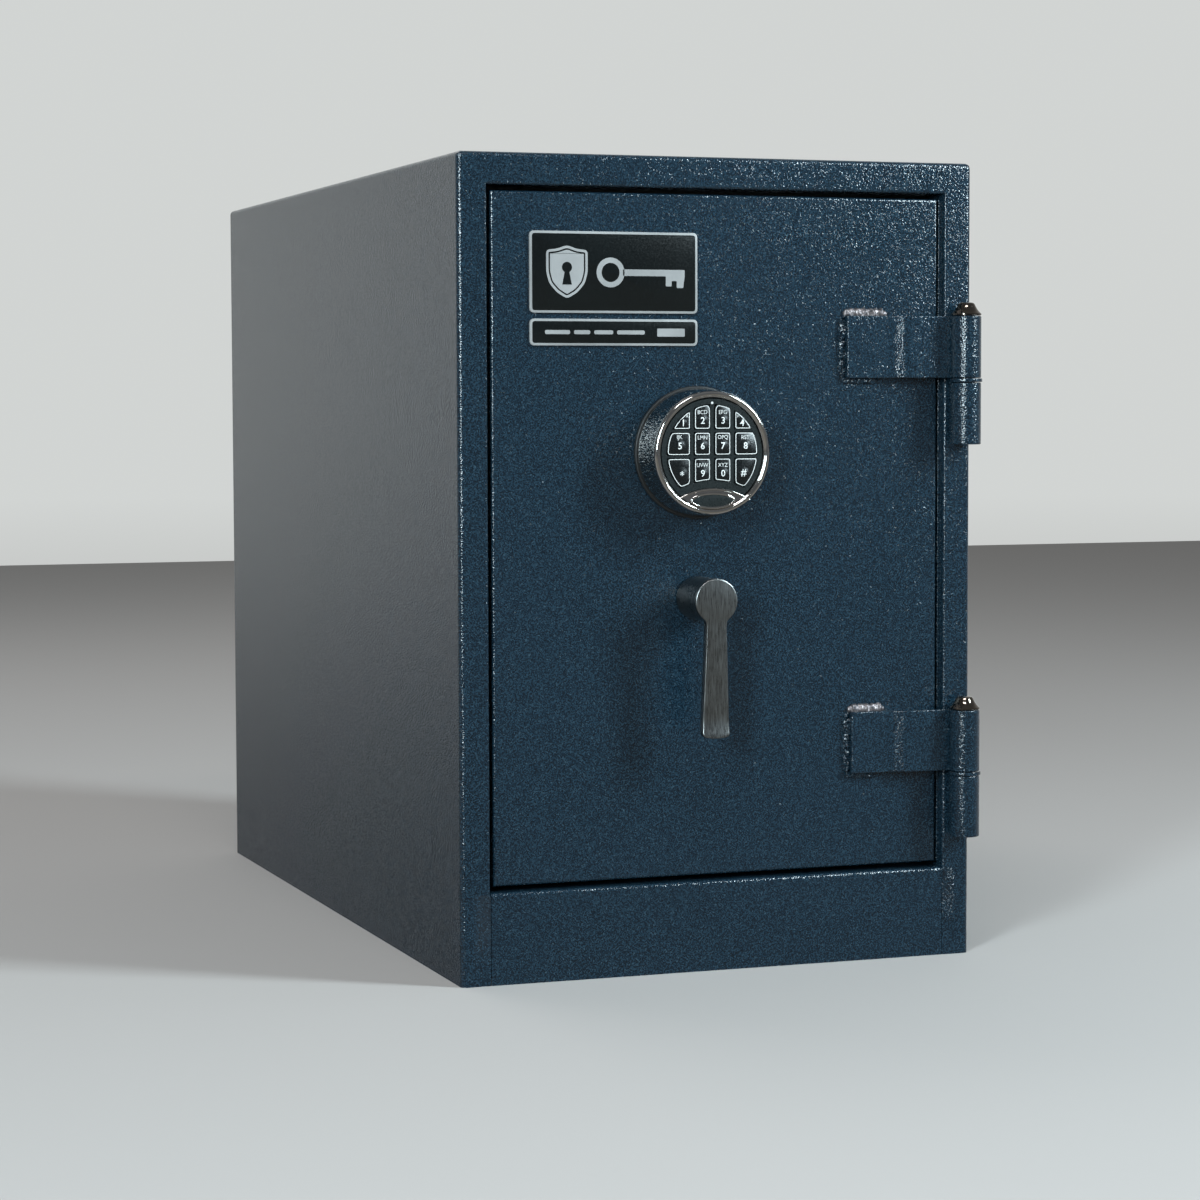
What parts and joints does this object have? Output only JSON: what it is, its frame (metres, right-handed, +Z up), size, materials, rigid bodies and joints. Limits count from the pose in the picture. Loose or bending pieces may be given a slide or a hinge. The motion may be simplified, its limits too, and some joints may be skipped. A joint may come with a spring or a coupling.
{
  "type": "cabinet safe",
  "caption": "Upright steel cabinet safe: hinged plate door with round push-button lock and lever handle, sliding bolts, lined interior with a shelf.",
  "frame": {"origin": "centre of the underside of the base, at floor level", "axes": "+Z up, front and door face -Y, +X to the viewer's right, which is the hinge side"},
  "size_m": [0.3598, 0.6679, 0.53],
  "materials": {
    "paint": "navy speckled powder coat, semi-gloss",
    "grey_paint": "smooth grey enamel",
    "fill": "cast fire-resisting fill, hidden",
    "steel": "bright drawn steel",
    "zinc": "zinc plated",
    "nickel": "satin nickel, fine brushing",
    "chrome": "polished chrome",
    "dark_chrome": "black chrome",
    "black_plastic": "black, glossy",
    "matte_black": "black, matte",
    "key_rubber": "black, printed and clear-coated",
    "lens": "translucent red",
    "plate_metal": "black anodised with bare silver border"
  },
  "bodies": {
    "safe_body": {"body_shell": "paint", "front_sill": "paint", "base_plate": "paint", "back_panel": "paint", "inner_liner": "grey_paint", "liner_ceiling": "grey_paint", "insulation_jacket": "fill", "anchor_plug": "matte_black", "shelf": "grey_paint", "shelf_rail_left": "zinc", "shelf_rail_right": "zinc", "hinge_knuckle_upper": "paint", "hinge_washer_upper": "dark_chrome", "hinge_pin_upper": "dark_chrome", "hinge_knuckle_lower": "paint", "hinge_washer_lower": "dark_chrome", "hinge_pin_lower": "dark_chrome"},
    "door": {"hinge_strap_upper": "paint", "hinge_strap_lower": "paint", "door_plate": "paint", "door_pan": "grey_paint", "keypad_base": "matte_black", "keypad_board": "matte_black", "keypad_battery": "matte_black", "keypad_cable": "matte_black", "pan_screw_1": "zinc", "pan_screw_2": "zinc", "pan_screw_3": "zinc", "pan_screw_4": "zinc", "dead_bar": "zinc", "bolt_guide": "zinc", "lock_case": "zinc", "relocker": "zinc", "hard_plate": "steel", "nameplate_upper": "plate_metal", "nameplate_lower": "plate_metal", "keypad_housing": "chrome", "keypad_face": "black_plastic", "keypad_badge": "black_plastic", "keypad_lamp": "lens"},
    "handle": {"handle_lever": "nickel", "handle_spindle": "steel", "spindle_cam": "zinc"},
    "boltwork": {"bolt_bar": "zinc", "locking_bolt_1": "steel", "locking_bolt_2": "steel", "locking_bolt_3": "steel"},
    "lock_bolt_slide": {"lock_bolt": "steel"},
    "button_1": {"key_1": "key_rubber"},
    "button_2": {"key_2": "key_rubber"},
    "button_3": {"key_3": "key_rubber"},
    "button_4": {"key_4": "key_rubber"},
    "button_5": {"key_5": "key_rubber"},
    "button_6": {"key_6": "key_rubber"},
    "button_7": {"key_7": "key_rubber"},
    "button_8": {"key_8": "key_rubber"},
    "button_star": {"key_star": "key_rubber"},
    "button_9": {"key_9": "key_rubber"},
    "button_0": {"key_0": "key_rubber"},
    "button_hash": {"key_hash": "key_rubber"}
  },
  "joints": [
    {"name": "door_swing", "type": "hinge", "parent": "safe_body", "child": "door", "pos_m": [0.17, -0.3285, 0], "axis": [0, 0, 1], "range_deg": [0, 180]},
    {"name": "handle_turn", "type": "hinge", "parent": "door", "child": "handle", "pos_m": [-0.017, -0.3135, 0.245], "axis": [0, -1, 0], "range_deg": [0, 90]},
    {"name": "bolt_throw", "type": "slide", "parent": "door", "child": "boltwork", "axis": [-1, 0, 0], "range_m": [0, 0.016]},
    {"name": "lock_bolt_drop", "type": "slide", "parent": "door", "child": "lock_bolt_slide", "axis": [0, 0, -1], "range_m": [0, 0.009]},
    {"name": "press_1", "type": "slide", "parent": "door", "child": "button_1", "axis": [0, 1, 0], "range_m": [0, 0.0008], "stiffness_N_per_m": 300},
    {"name": "press_2", "type": "slide", "parent": "door", "child": "button_2", "axis": [0, 1, 0], "range_m": [0, 0.0008], "stiffness_N_per_m": 300},
    {"name": "press_3", "type": "slide", "parent": "door", "child": "button_3", "axis": [0, 1, 0], "range_m": [0, 0.0008], "stiffness_N_per_m": 300},
    {"name": "press_4", "type": "slide", "parent": "door", "child": "button_4", "axis": [0, 1, 0], "range_m": [0, 0.0008], "stiffness_N_per_m": 300},
    {"name": "press_5", "type": "slide", "parent": "door", "child": "button_5", "axis": [0, 1, 0], "range_m": [0, 0.0008], "stiffness_N_per_m": 300},
    {"name": "press_6", "type": "slide", "parent": "door", "child": "button_6", "axis": [0, 1, 0], "range_m": [0, 0.0008], "stiffness_N_per_m": 300},
    {"name": "press_7", "type": "slide", "parent": "door", "child": "button_7", "axis": [0, 1, 0], "range_m": [0, 0.0008], "stiffness_N_per_m": 300},
    {"name": "press_8", "type": "slide", "parent": "door", "child": "button_8", "axis": [0, 1, 0], "range_m": [0, 0.0008], "stiffness_N_per_m": 300},
    {"name": "press_star", "type": "slide", "parent": "door", "child": "button_star", "axis": [0, 1, 0], "range_m": [0, 0.0008], "stiffness_N_per_m": 300},
    {"name": "press_9", "type": "slide", "parent": "door", "child": "button_9", "axis": [0, 1, 0], "range_m": [0, 0.0008], "stiffness_N_per_m": 300},
    {"name": "press_0", "type": "slide", "parent": "door", "child": "button_0", "axis": [0, 1, 0], "range_m": [0, 0.0008], "stiffness_N_per_m": 300},
    {"name": "press_hash", "type": "slide", "parent": "door", "child": "button_hash", "axis": [0, 1, 0], "range_m": [0, 0.0008], "stiffness_N_per_m": 300}
  ],
  "couplings": [
    {"joint": "bolt_throw", "follows": "handle_turn", "m_per_rad": 0.010186},
    {"joint": "lock_bolt_drop", "follows": "handle_turn", "m_per_rad": 0.0057295}
  ]
}
